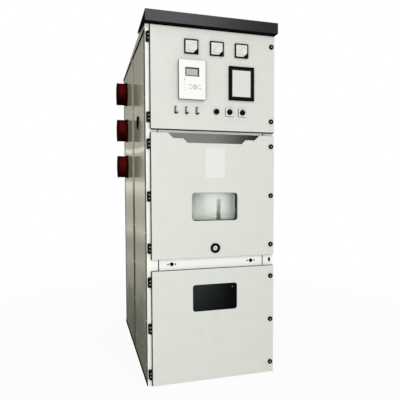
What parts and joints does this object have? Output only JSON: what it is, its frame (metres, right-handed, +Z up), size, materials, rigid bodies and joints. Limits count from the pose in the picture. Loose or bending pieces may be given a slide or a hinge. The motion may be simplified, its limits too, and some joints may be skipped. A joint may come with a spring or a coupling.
{
  "type": "metal-clad switchgear cubicle",
  "caption": "Tall sheet-metal switchgear cubicle with hinged instrument, breaker and cable doors, a dark hood, and busbar sleeves through its left wall.",
  "frame": {"origin": "on the ground, in the middle of the foundation bolts", "axes": "+Z up, -Y the way the doors face, +X to the right seen from the front"},
  "size_m": [0.884, 1.477, 2.2],
  "materials": {
    "white_paint": "satin powder coat",
    "grey_paint": "fine textured powder coat",
    "charcoal_paint": "satin powder coat",
    "galvanised_sheet": "bright zinc-coated sheet",
    "maroon_resin": "cast resin",
    "black_metal": "black coated",
    "black_plastic": "moulded",
    "clear_pane": "clear",
    "white_plastic": "moulded",
    "bright_metal": "turned"
  },
  "bodies": {
    "cubicle": {"left_front_post": "white_paint", "right_front_post": "white_paint", "rear_posts": "galvanised_sheet", "left_front_side": "galvanised_sheet", "left_rear_side": "galvanised_sheet", "right_front_side": "galvanised_sheet", "right_rear_side": "galvanised_sheet", "floor_plate": "galvanised_sheet", "bottom_rail": "white_paint", "interlock_panel": "white_paint", "upper_rail": "white_paint", "top_rail": "white_paint", "roof": "galvanised_sheet", "roof_edges": "galvanised_sheet", "relief_covers": "galvanised_sheet", "hood": "charcoal_paint", "rear_upper_cover": "galvanised_sheet", "rear_lower_cover": "galvanised_sheet", "middle_partition": "galvanised_sheet", "instrument_shelf": "galvanised_sheet", "instrument_back": "galvanised_sheet", "breaker_shelf": "galvanised_sheet", "truck_front": "galvanised_sheet", "top_sleeve": "maroon_resin", "middle_sleeve": "maroon_resin", "bottom_sleeve": "maroon_resin", "hinge_posts": "black_metal"},
    "instrument_door": {"instrument_door": "grey_paint", "instrument_hinge_leaves": "black_metal", "instrument_locks": "black_plastic", "meters": "black_plastic", "relay": "white_plastic", "indicator_frame": "black_plastic", "indicator_pane": "clear_pane", "test_links": "black_plastic", "push_button": "black_plastic", "switch_plates": "white_plastic"},
    "left_knob": {"left_knob": "black_plastic"},
    "right_knob": {"right_knob": "black_plastic"},
    "breaker_door": {"breaker_door": "grey_paint", "breaker_hinge_leaves": "black_metal", "breaker_locks": "black_plastic", "breaker_window": "clear_pane", "breaker_window_frame": "black_plastic", "door_band": "charcoal_paint", "socket_ring": "black_plastic", "socket_core": "bright_metal"},
    "cable_door": {"cable_door": "grey_paint", "cable_hinge_leaves": "black_metal", "cable_locks": "black_plastic", "cable_window": "clear_pane"}
  },
  "joints": [
    {"name": "instrument_door_hinge", "type": "hinge", "parent": "cubicle", "child": "instrument_door", "pos_m": [-0.383, -0.715, 1.832], "axis": [0, 0, -1], "range_deg": [0, 115]},
    {"name": "breaker_door_hinge", "type": "hinge", "parent": "cubicle", "child": "breaker_door", "pos_m": [-0.383, -0.715, 1.1395], "axis": [0, 0, -1], "range_deg": [0, 115]},
    {"name": "cable_door_hinge", "type": "hinge", "parent": "cubicle", "child": "cable_door", "pos_m": [-0.383, -0.715, 0.352], "axis": [0, 0, -1], "range_deg": [0, 115]},
    {"name": "left_knob_turn", "type": "hinge", "parent": "instrument_door", "child": "left_knob", "pos_m": [0.1025, -0.731, 1.648], "axis": [0, -1, 0], "range_deg": [-45, 45]},
    {"name": "right_knob_turn", "type": "hinge", "parent": "instrument_door", "child": "right_knob", "pos_m": [0.1845, -0.731, 1.648], "axis": [0, -1, 0], "range_deg": [-45, 45]}
  ]
}
